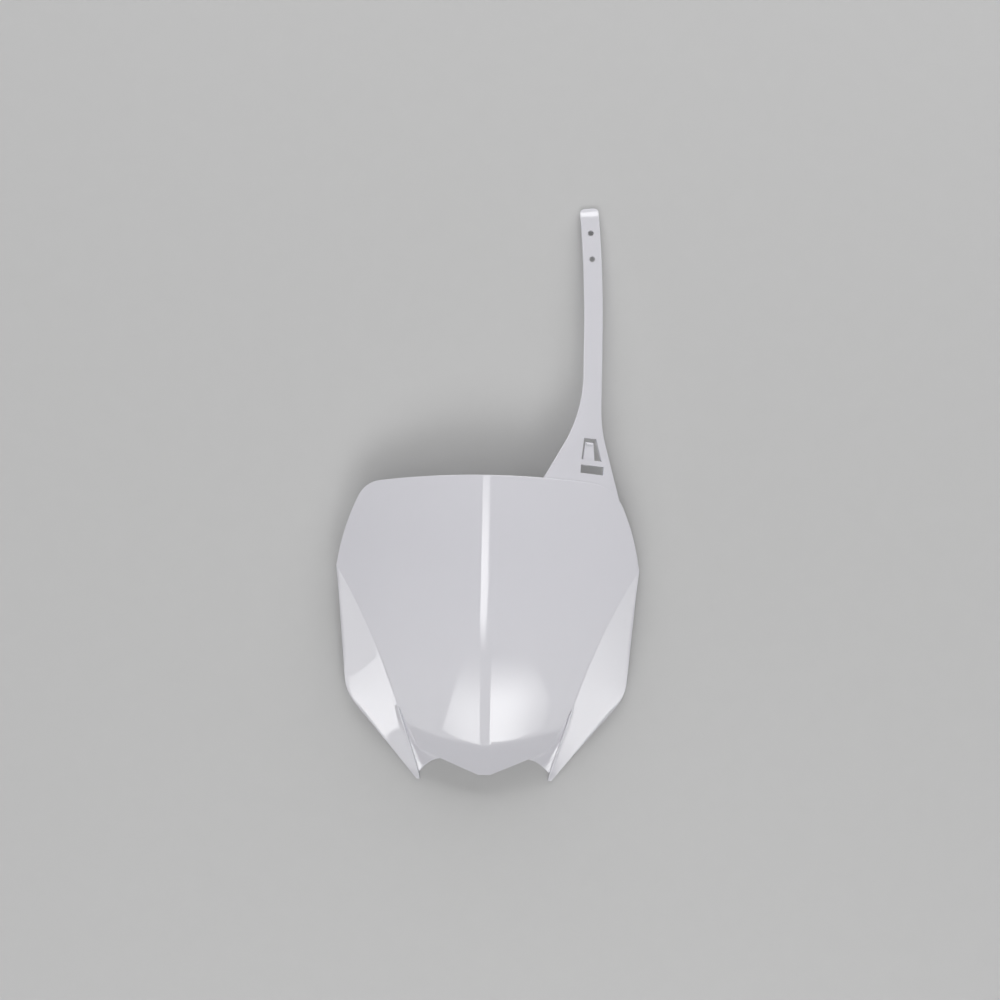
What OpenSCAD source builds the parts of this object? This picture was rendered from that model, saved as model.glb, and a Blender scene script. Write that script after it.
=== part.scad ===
// Front number board of an off-road motorcycle, moulded in one piece.
// It lies on its back, as it would on a bench: +X is its right side seen from the front,
// +Y runs up the board along its strap, and +Z points out of its face. It rests on Z = 0.
// Distances along the board are measured from the shoulder line, its widest line.

/* [Board outline] */
// Widest width of the board, across its shoulders
shoulder_w = 232; // [215:1:245]
// Width across the top corners, before they are rounded
top_w = 189; // [175:1:200]
// Height of the top edge above the shoulder line, at the middle
top_h = 70.5; // [60:0.5:85]
// Radius of the shallow arch along the top edge
top_arch_r = 650; // [450:10:1500]
// Length of the rounding on the free top corner, along both edges
corner_round = 12; // [8:0.5:18]
// Length of the rounding on the top corner in front of the strap's root
seam_round = 18; // [10:0.5:22]
// How far each side edge bows outwards between a top corner and a shoulder
side_bow = 3.2; // [0.5:0.1:6]
// Width across the lower wing corners, before they are rounded
lower_w = 216; // [200:1:228]
// Depth of the lower wing corners below the shoulder line
lower_drop = 98.5; // [85:0.5:110]
// Length of the rounding on each lower wing corner, along both edges
lower_round = 12; // [4:1:20]
// Distance between the middles of the two wing tips
tip_gap = 101; // [92:1:112]
// Depth of the wing tips below the shoulder line
tip_drop = 165; // [158:1:180]
// Width of each blunt wing tip
tip_w = 2.6; // [2:0.1:5]

/* [Ridge, creases and nose] */
// Width of the narrow strip along the ridge
ridge_w = 9; // [5:0.5:14]
// Angle at which each half of the face falls away from the strip, in degrees
ridge_angle = 5; // [2:0.5:9]
// Radius of the face's cross section
section_r = 280; // [240:5:420]
// Height of the crown, the highest place of the ridge, above the wing tips
crown_h = 51; // [47:0.5:58]
// Distance of the crown below the shoulder line
crown_drop = 25; // [10:1:40]
// Radius of the ridge line above the crown
back_r = 680; // [500:10:1200]
// Radius of the ridge line from the crown down to the nose
nose_r = 245; // [215:1:320]
// Distance between the two places where the creases open into grooves
groove_gap = 133.6; // [126:0.4:142]
// Depth of those places below the shoulder line
groove_drop = 105.5; // [98:0.5:112]
// How far each crease bows inwards
crease_bow = 3.8; // [0:0.2:7]
// Width of the nose lip between its two corners
lip_w = 99; // [90:1:106]
// Depth of the lip corners below the shoulder line
lip_drop = 138; // [132:1:146]
// Depth of the nose lip below the shoulder line, at the middle
nose_drop = 157.6; // [150:0.2:164]

/* [Wings and webs] */
// Thickness of the board's wall
wall = 2.2; // [1.8:0.1:3]
// Height of the lower wing corners above the wing tips
corner_lift = 5; // [2:0.5:8]
// How far the inner edge of each wing arches above a straight line down to its tip
tip_arch = 1.2; // [0:0.2:4]
// Bulge of the wings between their edges, as a share of their width
wing_bulge = 0.004; // [0:0.002:0.02]
// Thickness of the two webs that close the grooves
web_wall = 2.2; // [1.5:0.1:3]
// Step from the face down to the root of a web, less than the wall
web_step = 1.6; // [1:0.1:1.7]
// How far each web reaches into the walls on both sides of its groove
web_lap = 1.2; // [0.8:0.1:1.5]
// How far each web stops short of its wing tip, as a share of the wing's inner edge
web_short = 0.06; // [0.03:0.01:0.1]
// How far the nose lip overhangs the webs
lip_overhang = 5; // [3:0.5:8]
// Distance from the middle of the board to the inner end of each web
web_reach = 30; // [26:0.5:36]
// Height of the arch in the free edge of each web
web_arch = 4.5; // [1:0.5:7]
// How far each web sags between its two roots
web_sag = 1.5; // [0:0.1:3]

/* [Strap] */
// Distance of the strap's middle line from the middle of the board
strap_x = 77.4; // [72:0.2:80]
// Width of the strap
strap_w = 14.4; // [12:0.2:17]
// Thickness of the strap
strap_wall = 2.6; // [2.2:0.1:3.2]
// Length of the strap from the shoulder line to its tip
strap_top = 278; // [250:1:310]
// Radius of the sideways bend in the upper part of the strap
strap_bend_r = 1000; // [700:10:2500]
// Height above the shoulder line at which that bend begins
strap_bend_y = 180; // [150:1:200]
// Step from the face of the board down to the face of the strap's root
root_step = 0.8; // [0.4:0.1:1.2]
// Largest radius of the flares on both sides of the strap's root
flare_r = 110; // [80:2:160]
// Height above the shoulder line at which the inner flare begins
inner_flare_y = 149; // [140:1:160]
// Slope at which the inner flare meets the top edge, across over along
inner_flare_slope = 0.58; // [0.45:0.01:0.65]
// Height above the shoulder line at which the outer flare begins
outer_flare_y = 123; // [112:1:130]
// Slope of the outer flare along the board's side edge, across over along
outer_flare_slope = 0.27; // [0.22:0.01:0.28]
// Radius at which the tip of the strap curls down
curl_r = 13; // [10:0.5:18]
// Length of the curled tip
curl_l = 11; // [8:0.5:12]
// Radius of the tip's two corners
tip_r = 4.5; // [2:0.5:6]

/* [Strap fastening] */
// Radius of the two holes near the strap's tip
hole_r = 2.2; // [1.6:0.1:3]
// Distance from the strap's tip to the first hole
hole_end = 19.7; // [16:0.1:26]
// Distance between the two holes
hole_pitch = 20.2; // [14:0.2:28]
// Height of the bar between slot and window above the shoulder line
bar_y = 81.2; // [79:0.2:84]
// Angle of the bar, slot and window across the strap, in degrees
bar_angle = -5.5; // [-8:0.5:0]
// Width of the bar
bar_w = 4.1; // [3:0.1:5]
// Length of the slot under the bar, across the strap
slot_l = 18.6; // [17:0.2:19.6]
// Width of the slot, along the strap
slot_w = 6.5; // [5:0.1:7]
// How far the slot sits outwards of the strap's middle line
slot_shift = 0.9; // [0:0.1:1.2]
// Width of the window above the bar, at the bar
window_w = 16.6; // [14:0.2:17]
// Width of the window at its top
window_top_w = 9.7; // [8:0.1:11]
// Height of the window, along the strap
window_l = 16.6; // [14:0.2:18]
// How far the inner side of window and tongue leans outwards up to their ends
window_lean = 1.3; // [0:0.1:2]
// Width of the spring tongue in the window, at the bar
tongue_w = 9.6; // [8:0.2:11]
// Width of the spring tongue at its free end
tongue_top_w = 6.5; // [5:0.1:7.5]
// Gap beside the tongue on the side of the board's middle
tongue_gap = 1.6; // [1.2:0.1:2]
// Gap above the free end of the tongue
end_gap = 2.8; // [1.6:0.1:4]
// How far the face of the tongue lies below the face of the strap
tongue_step = 0.8; // [0.4:0.1:1.2]
// Radius of the bead across the end of the tongue
bead_r = 1.1; // [0.8:0.1:1.4]

/* [Hidden] */

// Spans along each stretch of the sheet's outline
top_spans = 11;
corner_spans = 3;
side_spans = 7;
crease_spans = 11;
edge_spans = 5;
inner_spans = 9;
wing_spans = 5;
web_spans = 6;
// Spans of the strap along its flares, its straight part and its curl, and across it
flare_spans = 12;
straight_spans = 12;
curl_spans = 6;
strap_spans = 8;

function unit(v) = v / norm(v);
function lerp(a, b, t) = a + (b - a) * t;
function flip(p, side) = [side * p.x, p.y, p.z];
// Hump that is 1 halfway and 0 at both ends
function hump(t) = 4 * t * (1 - t);
// Gentle change from 1 at t = 0 to 0 at t = 1
function fade(t) = let (c = max(0, min(1, t))) 1 - c * c * (3 - 2 * c);
// Fall of a circle of radius r at distance d from its highest point
function arc_drop(r, d) = r - sqrt(r * r - d * d);
// Curve that rounds the corner b between a and c
function rounding(a, b, c, t) = (1 - t) * (1 - t) * a + 2 * t * (1 - t) * b + t * t * c;
// Direction that carries a wall of even thickness round a fold between two faces
function mitre(a, b) = (a + b) / (1 + a * b);

// The face: one ridge line and one cross section make its heights

function ridge_z(y) = crown_h - arc_drop(y < -crown_drop ? nose_r : back_r, y + crown_drop);
function section_drop(x) =
    let (d = max(0, abs(x) - ridge_w / 2)) d * tan(ridge_angle) + arc_drop(section_r, d);
function face_z(x, y) = ridge_z(y) - section_drop(x);
function face_point(x, y) = [x, y, face_z(x, y)];
function face_normal(x, y) =
    let (e = 0.1)
    unit([face_z(x - e, y) - face_z(x + e, y), face_z(x, y - e) - face_z(x, y + e), 2 * e]);

// Outline of one half of the face, seen from the front

function top_y(x) = top_h - arc_drop(top_arch_r, x);
top_corner = [top_w / 2, top_y(top_w / 2)];
shoulder = [shoulder_w / 2, 0];
groove = [groove_gap / 2, -groove_drop];
lip_corner = [lip_w / 2, -lip_drop];

function side_at(t) =
    let (d = shoulder - top_corner)
    lerp(top_corner, shoulder, t) + side_bow * hump(t) * unit([-d.y, d.x]);
function crease_at(t) =
    let (d = groove - shoulder)
    lerp(shoulder, groove, t) + crease_bow * hump(t) * unit([d.y, -d.x]);
function corner_at(round_l, t) =
    let (x = top_corner.x - round_l, s = round_l / norm(shoulder - top_corner))
    rounding([x, top_y(x)], top_corner, side_at(s), t);

// Top edge from the ridge strip to the middle of the rounded corner
function top_half(round_l) = concat(
    [for (i = [0:top_spans - 1])
        let (x = lerp(ridge_w / 2, top_corner.x - round_l, i / top_spans)) [x, top_y(x)]],
    [for (i = [0:corner_spans]) corner_at(round_l, i / corner_spans / 2)]);

// Side from the middle of the corner past the shoulder, down the crease and to the lip
function side_half(round_l) =
    let (s = round_l / norm(shoulder - top_corner))
    concat(
        [for (i = [0:corner_spans - 1]) corner_at(round_l, 0.5 + i / corner_spans / 2)],
        [for (i = [0:side_spans - 1]) side_at(lerp(s, 1, i / side_spans))],
        [for (i = [0:crease_spans - 1]) crease_at(i / crease_spans)],
        [for (i = [0:edge_spans]) lerp(groove, lip_corner, i / edge_spans)]);

shoulder_row = corner_spans + side_spans;
groove_row = shoulder_row + crease_spans;
lip_row = groove_row + edge_spans;

// Rows of points over one half of the face, each from the ridge strip out to the side
function face_half(side) =
    let (round_l = side < 0 ? corner_round : seam_round,
         top = top_half(round_l),
         edge = side_half(round_l),
         last = len(top) - 1,
         x0 = ridge_w / 2,
         lip_rise = nose_drop - lip_drop)
    [for (p = edge)
        let (v = (edge[0].y - p.y) / (edge[0].y - lip_corner.y))
        [for (q = top)
            let (u = (q.x - x0) / (top[last].x - x0))
            face_point(side * lerp(x0, p.x, u),
                       p.y + (1 - v) * (q.y - top[last].y) - v * (1 - u) * lip_rise)]];

function reversed(list) = [for (i = [len(list) - 1:-1:0]) list[i]];
left_face = face_half(-1);
right_face = face_half(1);
face = [for (j = [0:lip_row]) concat(reversed(left_face[j]), right_face[j])];
face_last = len(face[0]) - 1;

// One wing, from its crease and inner edge out to its outer edge

wing_rows = crease_spans + inner_spans;
tip_in = [(tip_gap - tip_w) / 2, -tip_drop, 0];
tip_out = [(tip_gap + tip_w) / 2, -tip_drop, 0];

function inner_edge(t) =
    lerp(face_point(groove.x, groove.y), tip_in, t) + [0, 0, tip_arch * hump(t)];
wing_inner = concat(
    [for (i = [0:crease_spans]) let (p = crease_at(i / crease_spans)) face_point(p.x, p.y)],
    [for (i = [1:inner_spans]) inner_edge(i / inner_spans)]);

round_spans = 4;
wing_outer =
    let (a = face_point(shoulder.x, shoulder.y),
         b = [lower_w / 2, -lower_drop, corner_lift],
         ab = b + lower_round * unit(a - b),
         bc = b + lower_round * unit(tip_out - b),
         upper = crease_spans - round_spans / 2,
         lower = inner_spans - round_spans / 2)
    concat(
        [for (i = [0:upper - 1]) lerp(a, ab, i / upper)],
        [for (i = [0:round_spans - 1]) rounding(ab, b, bc, i / round_spans)],
        [for (i = [0:lower]) lerp(bc, tip_out, i / lower)]);

wing = [for (j = [0:wing_rows])
    let (a = wing_inner[j], b = wing_outer[j], outward = [a.z - b.z, 0, b.x - a.x])
    [for (k = [0:wing_spans])
        let (t = k / wing_spans) lerp(a, b, t) + wing_bulge * hump(t) * outward]];

// Normal of a sheet given as rows of points that run down it, each from left to right
function grid_normal(rows, j, k) =
    let (r = max(j, 1),
         across = rows[r][min(k + 1, len(rows[r]) - 1)] - rows[r][max(k - 1, 0)],
         down = rows[min(j + 1, len(rows) - 1)][k] - rows[max(j - 1, 0)][k])
    unit(cross(down, across));

wing_normals = [for (j = [0:wing_rows]) [for (k = [0:wing_spans]) grid_normal(wing, j, k)]];

// Where face and wing share a point, the wall is carried round the fold
function fold_normal(p, j) = mitre(face_normal(p.x, p.y), wing_normals[j][0]);
function on_fold(j, c) =
    j >= shoulder_row && j <= groove_row && (c == 0 || c == face_last);
face_normals = [for (j = [0:lip_row]) [for (c = [0:face_last])
    let (p = face[j][c])
    on_fold(j, c)
        ? flip(fold_normal(flip(p, sign(p.x)), j - shoulder_row), sign(p.x))
        : face_normal(p.x, p.y)]];

// Numbering of the points of the folded sheet

function face_id(j, c) = j * (face_last + 1) + c;
wing_first = (lip_row + 1) * (face_last + 1);
wing_size = (wing_rows + 1) * (wing_spans + 1);
function wing_id(side, j, k) =
    j == 0 || (k == 0 && j <= crease_spans)
        ? face_id(shoulder_row + j, side < 0 ? 0 : face_last)
        : wing_first + (side < 0 ? 0 : wing_size) + j * (wing_spans + 1) + k;

face_ids = [for (j = [0:lip_row]) [for (c = [0:face_last]) face_id(j, c)]];
function wing_ids(side) = [for (j = [0:wing_rows])
    let (row = [for (k = [0:wing_spans]) wing_id(side, j, k)])
    side < 0 ? reversed(row) : row];

// Edge of the right half from the shoulder down round the wing and back to the lip
function half_rim(side) = concat(
    [for (j = [1:shoulder_row]) face_id(j, side < 0 ? 0 : face_last)],
    [for (j = [1:wing_rows]) wing_id(side, j, wing_spans)],
    [for (k = [wing_spans - 1:-1:0]) wing_id(side, wing_rows, k)],
    [for (j = [wing_rows - 1:-1:crease_spans]) wing_id(side, j, 0)],
    [for (j = [groove_row + 1:lip_row]) face_id(j, side < 0 ? 0 : face_last)]);
board_rim = concat(
    [for (c = [0:face_last]) face_id(0, c)],
    half_rim(1),
    [for (c = [face_last - 1:-1:1]) face_id(lip_row, c)],
    reversed(half_rim(-1)));

function flat(rows) = [for (row = rows) each row];
function flip_all(points, side) = [for (p = points) flip(p, side)];
board_points = concat(flat(face), flip_all(flat(wing), -1), flat(wing));
board_normals =
    concat(flat(face_normals), flip_all(flat(wing_normals), -1), flat(wing_normals));

// Webs, from their roots in the wings to their roots in the face and under the lip

function wing_root(i) =
    let (j = crease_spans + i)
    inner_edge((1 - web_short) * i / inner_spans)
        + web_lap * unit(wing[j][wing_spans] - wing[j][0])
        - web_step * wing_normals[j][0];
function face_root(i) =
    let (under = inner_spans - edge_spans,
         a = groove + [-web_lap, 0],
         b = lip_corner + [-web_lap, web_lap],
         c = [web_reach, -lip_drop - (nose_drop - lip_drop)
              * (lip_w / 2 - web_reach) / (lip_w / 2 - ridge_w / 2) + lip_overhang],
         p = i <= edge_spans ? lerp(a, b, i / edge_spans)
                             : lerp(b, c, (i - edge_spans) / under))
    face_point(p.x, p.y) - web_step * face_normal(p.x, p.y);
web = [for (i = [0:inner_spans])
    let (a = face_root(i), b = wing_root(i), s = i / inner_spans)
    [for (k = [0:web_spans])
        let (t = k / web_spans)
        lerp(a, b, t) + hump(t) * [0, web_arch * s * s * s, -web_sag * s]]];

// The strap

function strap_center(y) =
    [strap_x - pow(max(0, y - strap_bend_y), 2) / (2 * strap_bend_r), y];
function strap_turn(y) = max(0, y - strap_bend_y) / strap_bend_r;
// Extra half width at distance d below the start of a flare
function flare(d, slope) =
    let (d1 = flare_r * slope / sqrt(1 + slope * slope), c = max(0, min(d, d1)))
    arc_drop(flare_r, c) + slope * max(0, d - d1);
function strap_left(y) = strap_w / 2 + flare(inner_flare_y - y, inner_flare_slope);
function strap_right(y) = strap_w / 2 + flare(outer_flare_y - y, outer_flare_slope);

// Lowest height of the wings' backs, on which the board rests
rest_z = min([for (j = [0:wing_rows]) for (k = [0:wing_spans])
    (wing[j][k] - wall * wing_normals[j][k]).z]);

// The strap's face follows the board's face up to root_y and then runs straight down
// to the curl, at the slope that brings the lower edge of its tip to the resting plane
root_y = bar_y + 4;
root_z = face_z(strap_x, root_y) - root_step;
curl_angle = curl_l / curl_r * 180 / PI;
function curl_run(a) = curl_r * (sin(a + curl_angle) - sin(a));
function curl_drop(a) =
    curl_r * (cos(a) - cos(a + curl_angle)) + strap_wall * cos(a + curl_angle);
function lie_angle(a, passes) = passes == 0 ? a : lie_angle(
    atan2(root_z - rest_z - curl_drop(a), strap_top - curl_run(a) - root_y), passes - 1);
strap_slope = lie_angle(10, 8);
curl_y = strap_top - curl_run(strap_slope);
curl_z = root_z - (curl_y - root_y) * tan(strap_slope);
flat_y = inner_flare_y;

function strap_z(x, y) = y < root_y
    ? face_z(x, y) - root_step
    : root_z - (y - root_y) * tan(strap_slope)
        - (section_drop(x) - section_drop(strap_x)) * fade((y - root_y) / (flat_y - root_y));
function strap_row(y_left, y_right) = [for (k = [0:strap_spans])
    let (t = k / strap_spans,
         y = lerp(y_left, y_right, t),
         o = lerp(-strap_left(y_left), strap_right(y_right), t),
         p = strap_center(y) + o * [1, strap_turn(y)])
    [p.x, p.y, strap_z(p.x, y)]];
// Row across the curl at distance e from the strap's end, narrowed by its corners
function curl_row(e) =
    let (a = strap_slope + (curl_l - e) / curl_r * 180 / PI,
         y = curl_y + curl_r * (sin(a) - sin(strap_slope)),
         z = curl_z - curl_r * (cos(strap_slope) - cos(a)),
         d = max(0, tip_r - e),
         half_w = strap_w / 2 - arc_drop(tip_r, d))
    [for (k = [0:strap_spans])
        let (p = strap_center(y)
             + lerp(-half_w, half_w, k / strap_spans) * [1, strap_turn(y)])
        [p.x, p.y, z]];

// The root of the strap is tucked this far behind the board at its two sides
tuck_left = 62;
tuck_right = 37;
strap_down = concat(
    [for (i = [0:flare_spans - 1])
        let (t = i / flare_spans) strap_row(lerp(tuck_left, flat_y, t), lerp(tuck_right, flat_y, t))],
    [for (i = [0:straight_spans]) let (y = lerp(flat_y, curl_y, i / straight_spans)) strap_row(y, y)],
    [for (i = [1:curl_spans]) curl_row(curl_l * (1 - sin(90 * i / curl_spans)))]);
strap = reversed(strap_down);

function strap_point(y) = [strap_center(y).x, y, strap_z(strap_center(y).x, y)];
strap_end_y = max([for (p = strap[0]) p.y]);
strap_low_z = min([for (k = [0:strap_spans])
    (strap[0][k] - strap_wall * grid_normal(strap, 0, k)).z]);

// Solids made of sheets

// Triangles of a patch of points given by rows of their numbers; a row may end in a point
function patch_faces(ids) = [for (j = [0:len(ids) - 2]) for (k = [0:len(ids[0]) - 2])
    let (a = ids[j][k], b = ids[j][k + 1], c = ids[j + 1][k + 1], d = ids[j + 1][k])
    for (f = [[a, b, c], [a, c, d]])
    if (f[0] != f[1] && f[1] != f[2] && f[0] != f[2]) f];

// Sheet of even thickness under its front points, closed all round its rim
module sheet(front, normals, patches, rim, thickness) {
    n = len(front);
    back = [for (i = [0:n - 1]) front[i] - thickness * normals[i]];
    skin = [for (ids = patches) each patch_faces(ids)];
    polyhedron(
        points = concat(front, back),
        faces = concat(
            skin,
            [for (f = skin) [f[2] + n, f[1] + n, f[0] + n]],
            [for (i = [0:len(rim) - 1])
                let (a = rim[i], b = rim[(i + 1) % len(rim)])
                each [[b, a, a + n], [b, a + n, b + n]]]),
        convexity = 8);
}

module grid_sheet(rows, thickness) {
    last_j = len(rows) - 1;
    last_k = len(rows[0]) - 1;
    ids = [for (j = [0:last_j]) [for (k = [0:last_k]) j * (last_k + 1) + k]];
    normals = [for (j = [0:last_j]) for (k = [0:last_k]) grid_normal(rows, j, k)];
    rim = concat(
        ids[0],
        [for (j = [1:last_j]) ids[j][last_k]],
        [for (k = [last_k - 1:-1:0]) ids[last_j][k]],
        [for (j = [last_j - 1:-1:1]) ids[j][0]]);
    sheet(flat(rows), normals, [ids], rim, thickness);
}

module shell() {
    sheet(board_points, board_normals, [face_ids, wing_ids(-1), wing_ids(1)], board_rim, wall);
}

module web_sheet() {
    grid_sheet(web, web_wall);
}

// Frame on the strap's face at the bar, turned to lie along slot and window
module at_bar() {
    p = [strap_x, bar_y, strap_z(strap_x, bar_y)];
    n = face_normal(p.x, p.y);
    translate(p)
        rotate([-asin(n.y), atan2(n.x, n.z), 0])
            rotate([0, 0, bar_angle])
                children();
}

inner_x = -window_w / 2;
window_top_y = bar_w / 2 + window_l;
tongue_end_y = window_top_y - end_gap;

module window_shape() {
    polygon([
        [inner_x, bar_w / 2],
        [inner_x + window_w, bar_w / 2],
        [inner_x + window_lean + window_top_w, window_top_y],
        [inner_x + window_lean, window_top_y]]);
}

module tongue_shape() {
    translate([inner_x + tongue_gap, 0])
        polygon([
            [0, 0],
            [tongue_w, 0],
            [window_lean + tongue_top_w, tongue_end_y],
            [window_lean, tongue_end_y]]);
}

module slot_shape() {
    translate([slot_shift - slot_l / 2, -bar_w / 2 - slot_w])
        square([slot_l, slot_w]);
}

// Slot and window cut through the strap's root, leaving the tongue a step lower
cut_depth = 12;
module fastening_cut() {
    at_bar() {
        translate([0, 0, -cut_depth / 2])
            linear_extrude(cut_depth) {
                slot_shape();
                difference() {
                    window_shape();
                    tongue_shape();
                }
            }
        translate([0, 0, -tongue_step])
            linear_extrude(cut_depth / 2)
                window_shape();
    }
}

// Catch across the free end of the tongue, a little narrower than the tongue
bead_inset = 0.4;
module bead() {
    x = inner_x + tongue_gap + window_lean + bead_inset;
    at_bar()
        translate([x, tongue_end_y - bead_r - bead_inset, -tongue_step])
            rotate([0, 90, 0])
                cylinder(h = tongue_top_w - 2 * bead_inset, r = bead_r, $fn = 24);
}

module strap_hole(distance) {
    p = strap_point(strap_top - distance);
    translate(p)
        rotate([-strap_slope, 0, 0])
            translate([0, 0, -cut_depth / 2])
                cylinder(h = cut_depth, r = hole_r, $fn = 48);
}

center_y = (strap_end_y - tip_drop) / 2;
floor_z = min(rest_z, strap_low_z);

module number_board() {
    color("white")
        translate([0, -center_y, -floor_z]) {
            difference() {
                union() {
                    shell();
                    web_sheet();
                    mirror([1, 0, 0])
                        web_sheet();
                    grid_sheet(strap, strap_wall);
                }
                fastening_cut();
                strap_hole(hole_end);
                strap_hole(hole_end + hole_pitch);
            }
            bead();
        }
}

number_board();
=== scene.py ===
"""Looks of a racing number board: its smooth moulded sheet, its gloss and the studio round it.

The sheet is shaped by the same rules as the solid part, with finer steps and rounded edges.
Lengths here are millimetres, measured from the board's shoulder line, until a mesh is made.
"""

import math

import bmesh
import bpy
import numpy as np
from mathutils import Matrix, Vector


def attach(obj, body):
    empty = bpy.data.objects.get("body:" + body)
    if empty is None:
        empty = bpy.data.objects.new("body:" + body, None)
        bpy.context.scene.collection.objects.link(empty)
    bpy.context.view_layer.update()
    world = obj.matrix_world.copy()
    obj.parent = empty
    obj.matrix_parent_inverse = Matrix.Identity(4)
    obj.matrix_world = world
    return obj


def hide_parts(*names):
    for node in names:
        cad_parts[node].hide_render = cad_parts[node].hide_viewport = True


# Outline of the board
SHOULDER_W = 232.0
TOP_W = 189.0
TOP_H = 70.5
TOP_ARCH_R = 650.0
CORNER_ROUND = 12.0
SEAM_ROUND = 18.0
SIDE_BOW = 3.2
LOWER_W = 216.0
LOWER_DROP = 98.5
LOWER_ROUND = 12.0
TIP_GAP = 101.0
TIP_DROP = 165.0
TIP_W = 2.6

# Ridge, creases and nose
RIDGE_W = 9.0
RIDGE_ANGLE = math.radians(5)
SECTION_R = 280.0
CROWN_H = 51.0
CROWN_DROP = 25.0
BACK_R = 680.0
NOSE_R = 245.0
GROOVE_GAP = 133.6
GROOVE_DROP = 105.5
CREASE_BOW = 3.8
LIP_W = 99.0
LIP_DROP = 140.3
NOSE_DROP = 160.2

# Wings and webs
WALL = 2.2
CORNER_LIFT = 5.0
TIP_ARCH = 1.2
WING_BULGE = 0.004
WEB_WALL = 2.2
WEB_STEP = 1.6
WEB_LAP = 1.2
WEB_SHORT = 0.06
LIP_OVERHANG = 0.6
WEB_REACH = 30.0
WEB_ARCH = 3.6
WEB_SAG = 1.5

# Strap
STRAP_X = 77.4
STRAP_W = 14.4
STRAP_WALL = 2.6
STRAP_TOP = 278.0
ROOT_RUN = 4.0
STRAP_BEND_R = 1000.0
STRAP_BEND_Y = 180.0
ROOT_STEP = 0.8
FLARE_R = 110.0
INNER_FLARE_Y = 149.0
INNER_FLARE_SLOPE = 0.58
OUTER_FLARE_Y = 123.0
OUTER_FLARE_SLOPE = 0.27
CURL_R = 13.0
CURL_L = 11.0
TIP_R = 4.5
TUCK_LEFT = 62.0
TUCK_RIGHT = 37.0

# Strap fastening
HOLE_R = 2.2
HOLE_END = 19.7
HOLE_PITCH = 20.2
BAR_Y = 81.2
BAR_ANGLE = math.radians(-5.5)
BAR_W = 4.1
SLOT_L = 18.6
SLOT_W = 6.5
SLOT_SHIFT = 0.9
WINDOW_W = 16.6
WINDOW_TOP_W = 9.7
WINDOW_L = 16.6
WINDOW_LEAN = 1.3
TONGUE_W = 9.6
TONGUE_TOP_W = 6.5
TONGUE_GAP = 1.6
END_GAP = 2.8
TONGUE_STEP = 0.8
BEAD_R = 1.1
BEAD_INSET = 0.4
BEAD_SIDES = 24

# Rounding of the sheet's edges and folds
RIM_ROUND = 0.8
STRAP_ROUND = 0.6
CREASE_ROUND = 0.7
CELL_SHARE = 0.6
SHARP_ANGLE = math.radians(34)

# Spans along each stretch of the sheet
TOP_SPANS = 44
CORNER_SPANS = 12
SIDE_SPANS = 28
CREASE_SPANS = 44
EDGE_SPANS = 20
INNER_SPANS = 36
WING_SPANS = 8
WEB_SPANS = 10
ROUND_SPANS = 16
FLARE_SPANS = 44
STRAIGHT_SPANS = 40
CURL_SPANS = 12
STRAP_SPANS = 12
SHOULDER_ROW = CORNER_SPANS + SIDE_SPANS
GROOVE_ROW = SHOULDER_ROW + CREASE_SPANS
LIP_ROW = GROOVE_ROW + EDGE_SPANS
WING_ROWS = CREASE_SPANS + INNER_SPANS


def vec(*values):
    return np.array(values, float)


def unit(v):
    return v / np.linalg.norm(v)


def lerp(a, b, t):
    return a + (b - a) * t


def flip(p, side):
    return p * vec(side, 1, 1)


def hump(t):
    """1 halfway and 0 at both ends."""
    return 4 * t * (1 - t)


def fade(t):
    """Gentle change from 1 at t = 0 to 0 at t = 1."""
    c = max(0.0, min(1.0, t))
    return 1 - c * c * (3 - 2 * c)


def arc_drop(r, d):
    """Fall of a circle of radius r at distance d from its highest point."""
    return r - math.sqrt(r * r - d * d)


def rounding(a, b, c, t):
    """Curve that rounds the corner b between a and c."""
    return (1 - t) ** 2 * a + 2 * t * (1 - t) * b + t * t * c


def mitre(a, b):
    """Direction that carries a wall of even thickness round a fold."""
    return (a + b) / (1 + a @ b)


# The face


def ridge_z(y):
    return CROWN_H - arc_drop(NOSE_R if y < -CROWN_DROP else BACK_R, y + CROWN_DROP)


def section_drop(x):
    d = max(0.0, abs(x) - RIDGE_W / 2)
    return d * math.tan(RIDGE_ANGLE) + arc_drop(SECTION_R, d)


def face_z(x, y):
    return ridge_z(y) - section_drop(x)


def face_point(x, y):
    return vec(x, y, face_z(x, y))


def face_normal(x, y):
    e = 0.1
    return unit(vec(face_z(x - e, y) - face_z(x + e, y), face_z(x, y - e) - face_z(x, y + e), 2 * e))


def top_y(x):
    return TOP_H - arc_drop(TOP_ARCH_R, x)


TOP_CORNER = vec(TOP_W / 2, top_y(TOP_W / 2))
SHOULDER = vec(SHOULDER_W / 2, 0)
GROOVE = vec(GROOVE_GAP / 2, -GROOVE_DROP)
LIP_CORNER = vec(LIP_W / 2, -LIP_DROP)
SIDE_LENGTH = np.linalg.norm(SHOULDER - TOP_CORNER)


def side_at(t):
    d = SHOULDER - TOP_CORNER
    return lerp(TOP_CORNER, SHOULDER, t) + SIDE_BOW * hump(t) * unit(vec(-d[1], d[0]))


def crease_at(t):
    d = GROOVE - SHOULDER
    return lerp(SHOULDER, GROOVE, t) + CREASE_BOW * hump(t) * unit(vec(d[1], -d[0]))


def corner_at(round_l, t):
    x = TOP_CORNER[0] - round_l
    return rounding(vec(x, top_y(x)), TOP_CORNER, side_at(round_l / SIDE_LENGTH), t)


def top_half(round_l):
    """Top edge from the ridge strip to the middle of the rounded corner."""
    reach = TOP_CORNER[0] - round_l
    xs = [lerp(RIDGE_W / 2, reach, i / TOP_SPANS) for i in range(TOP_SPANS)]
    return [vec(x, top_y(x)) for x in xs] + [
        corner_at(round_l, i / CORNER_SPANS / 2) for i in range(CORNER_SPANS + 1)
    ]


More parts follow.
